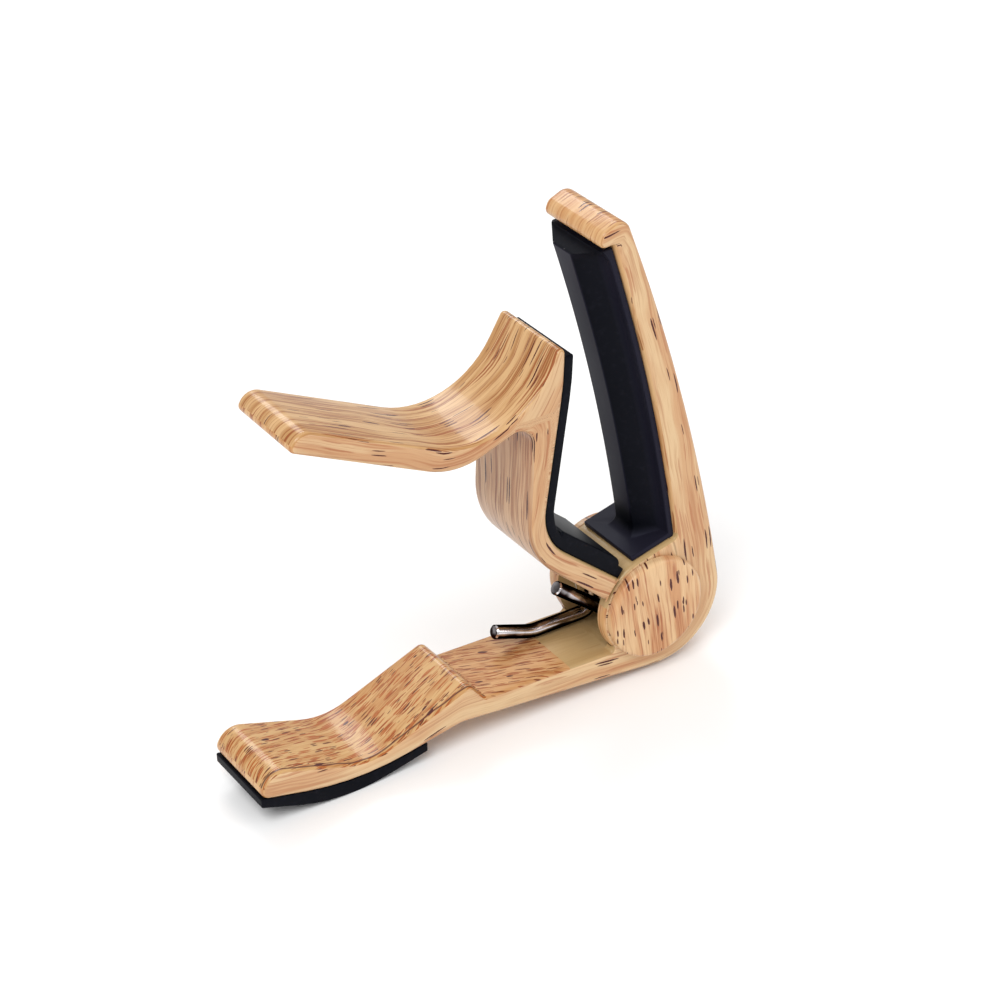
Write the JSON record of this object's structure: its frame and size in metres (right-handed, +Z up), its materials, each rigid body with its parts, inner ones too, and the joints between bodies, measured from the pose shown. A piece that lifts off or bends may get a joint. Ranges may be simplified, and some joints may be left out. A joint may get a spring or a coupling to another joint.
{
  "type": "guitar capo",
  "caption": "Sprung trigger capo: a padded string arm with a squeeze handle, hinged to a padded jaw lever that closes behind a guitar's neck.",
  "frame": {"origin": "on the resting plane, below the middle of the capo's length", "axes": "+Z up, +X from the handle's end towards the hinge, Y along the hinge pin"},
  "size_m": [0.0868, 0.0188, 0.0836],
  "materials": {
    "frame_print": "satin wood-grain print on cast alloy",
    "lever_print": "satin wood-grain print on cast alloy",
    "cap_print": "satin wood-grain print on cast alloy",
    "string_pad": "moulded silicone",
    "neck_pad": "moulded silicone",
    "grip_pad": "moulded silicone",
    "spring_steel": "black nickel plate, glossy",
    "pin_steel": "turned, zinc plated",
    "washer": "natural nylon"
  },
  "bodies": {
    "base": {"frame": "frame_print", "string_pad": "string_pad", "grip_pad": "grip_pad", "pivot_pin": "pin_steel", "washer_near": "washer", "washer_far": "washer", "cap_near": "cap_print", "cap_far": "cap_print", "torsion_spring": "spring_steel"},
    "jaw": {"lever": "lever_print", "neck_pad": "neck_pad"}
  },
  "joints": [
    {"name": "jaw_hinge", "type": "hinge", "parent": "base", "child": "jaw", "pos_m": [0.02979, 0, 0.01309], "axis": [0, 1, 0], "range_deg": [-37, 0], "stiffness_Nm_per_rad": 1.1, "springref_deg": 34.38, "deforming": ["torsion_spring"]}
  ]
}
